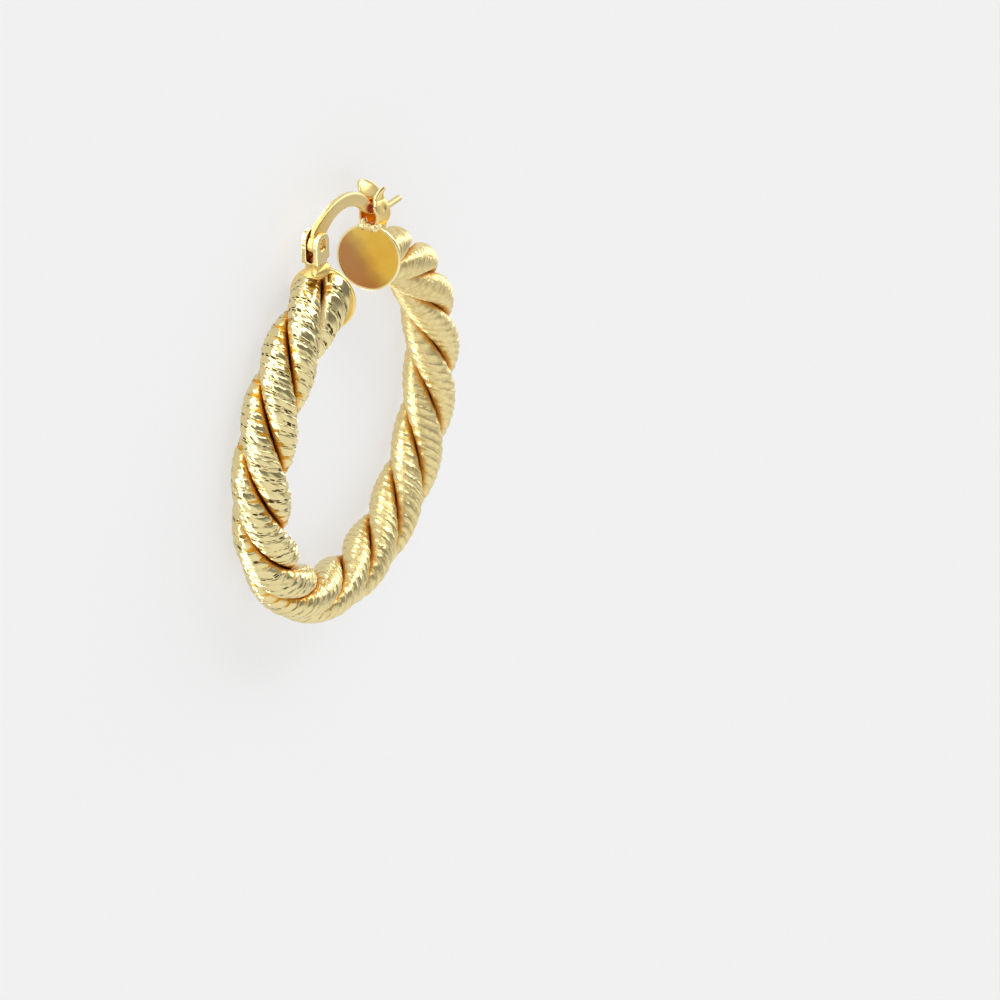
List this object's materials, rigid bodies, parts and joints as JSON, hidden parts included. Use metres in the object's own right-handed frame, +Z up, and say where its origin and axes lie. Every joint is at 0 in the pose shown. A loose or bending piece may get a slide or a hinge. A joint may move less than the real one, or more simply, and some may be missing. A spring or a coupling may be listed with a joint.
{
  "type": "twisted hoop earring",
  "caption": "Hoop earring of ribbed strands twisted as a rope, with round end caps, a hinged ear wire and a sprung catch.",
  "frame": {"origin": "under the middle of the part's box, on the ground that the hoop lies on", "axes": "+Z up, along the hoop's own axis; +Y in the hoop's plane, from its middle to its gap and clasp; +X in the hoop's plane, from the hinge to the catch"},
  "size_m": [0.0372, 0.0425, 0.0061],
  "materials": {
    "strands": "polished, finely ribbed",
    "fittings": "polished",
    "pin": "polished",
    "wire": "satin polished"
  },
  "bodies": {
    "hoop": {"strand_1": "strands", "strand_2": "strands", "strand_3": "strands", "hinge_end": "fittings", "catch_end": "fittings", "hinge_pin": "pin"},
    "ear_wire": {"ear_wire": "wire"}
  },
  "joints": [
    {"name": "ear_wire_hinge", "type": "hinge", "parent": "hoop", "child": "ear_wire", "pos_m": [-0.00515, 0.01883, 0.00308], "axis": [0, 0, 1], "range_deg": [0, 95]}
  ]
}
